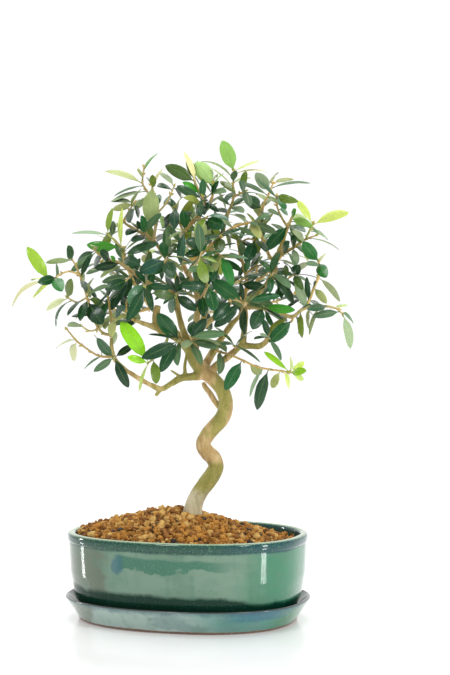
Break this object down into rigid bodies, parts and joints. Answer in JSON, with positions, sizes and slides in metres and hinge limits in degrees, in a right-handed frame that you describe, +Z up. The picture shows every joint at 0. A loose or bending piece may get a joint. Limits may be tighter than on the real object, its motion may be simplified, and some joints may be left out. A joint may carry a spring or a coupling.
{
  "type": "olive bonsai",
  "caption": "Olive bonsai with a winding trunk and a rounded leafy crown, growing in granular soil in a glazed oval pot that stands on a matching drip tray.",
  "frame": {"origin": "centre of the drip tray's foot, on the surface that the pot stands on", "axes": "+Z up, +X along the long side of the oval pot to the viewer's right, -Y out of the pot's front"},
  "size_m": [0.2319, 0.1838, 0.358],
  "materials": {
    "tray_glaze": "glossy grey-green glaze over a bare brown foot",
    "pot_glaze": "glossy mottled green glaze, pale at the lip",
    "screen_plastic": "black moulded mesh",
    "soil_granules": "dry orange-brown clay granules",
    "bark": "smooth olive bark, finely speckled",
    "twig": "thin tan bark",
    "leaf_green": "leathery leaf, glossy above and grey-olive below",
    "leaf_young": "thin young leaf, lime green and satin"
  },
  "bodies": {
    "root": {"drip_tray": "tray_glaze", "pot": "pot_glaze", "drain_screen_left": "screen_plastic", "drain_screen_right": "screen_plastic", "soil": "soil_granules", "trunk": "bark", "low_left_fork": "leaf_green", "left_bare_twig": "leaf_green", "lime_left": "leaf_young", "front_left_rosette": "leaf_green", "front_right_rosette": "leaf_green", "slender_right": "leaf_green", "lime_right": "leaf_young", "stub_spray": "leaf_green", "right_limb_spur": "leaf_green", "right_lateral": "leaf_green", "right_upper_stem": "leaf_green", "far_right_young": "leaf_young", "right_crown_node": "leaf_green", "centre_front": "leaf_green", "centre_front_left": "leaf_green", "up_left": "leaf_green", "outer_left": "leaf_green", "left_stem_top": "leaf_green", "left_reach_spray": "leaf_green", "upper_left": "leaf_green", "top_left": "leaf_green", "branch_c": "leaf_green", "top_centre": "leaf_green", "top_right": "leaf_green", "far_top_right": "leaf_green", "right_high_a": "leaf_green", "right_high_b": "leaf_green", "right_inner": "leaf_green", "right_grey": "leaf_green", "right_back_stem": "leaf_green", "back_top": "leaf_green", "back_left_high": "leaf_green", "back_left_low": "leaf_green", "back_right_high": "leaf_green", "back_right_low": "leaf_green", "deep_back_left": "leaf_green", "deep_back_right": "leaf_green", "deep_back_up": "leaf_green", "deep_back_low": "leaf_green", "front_high": "leaf_green"}
  },
  "joints": []
}
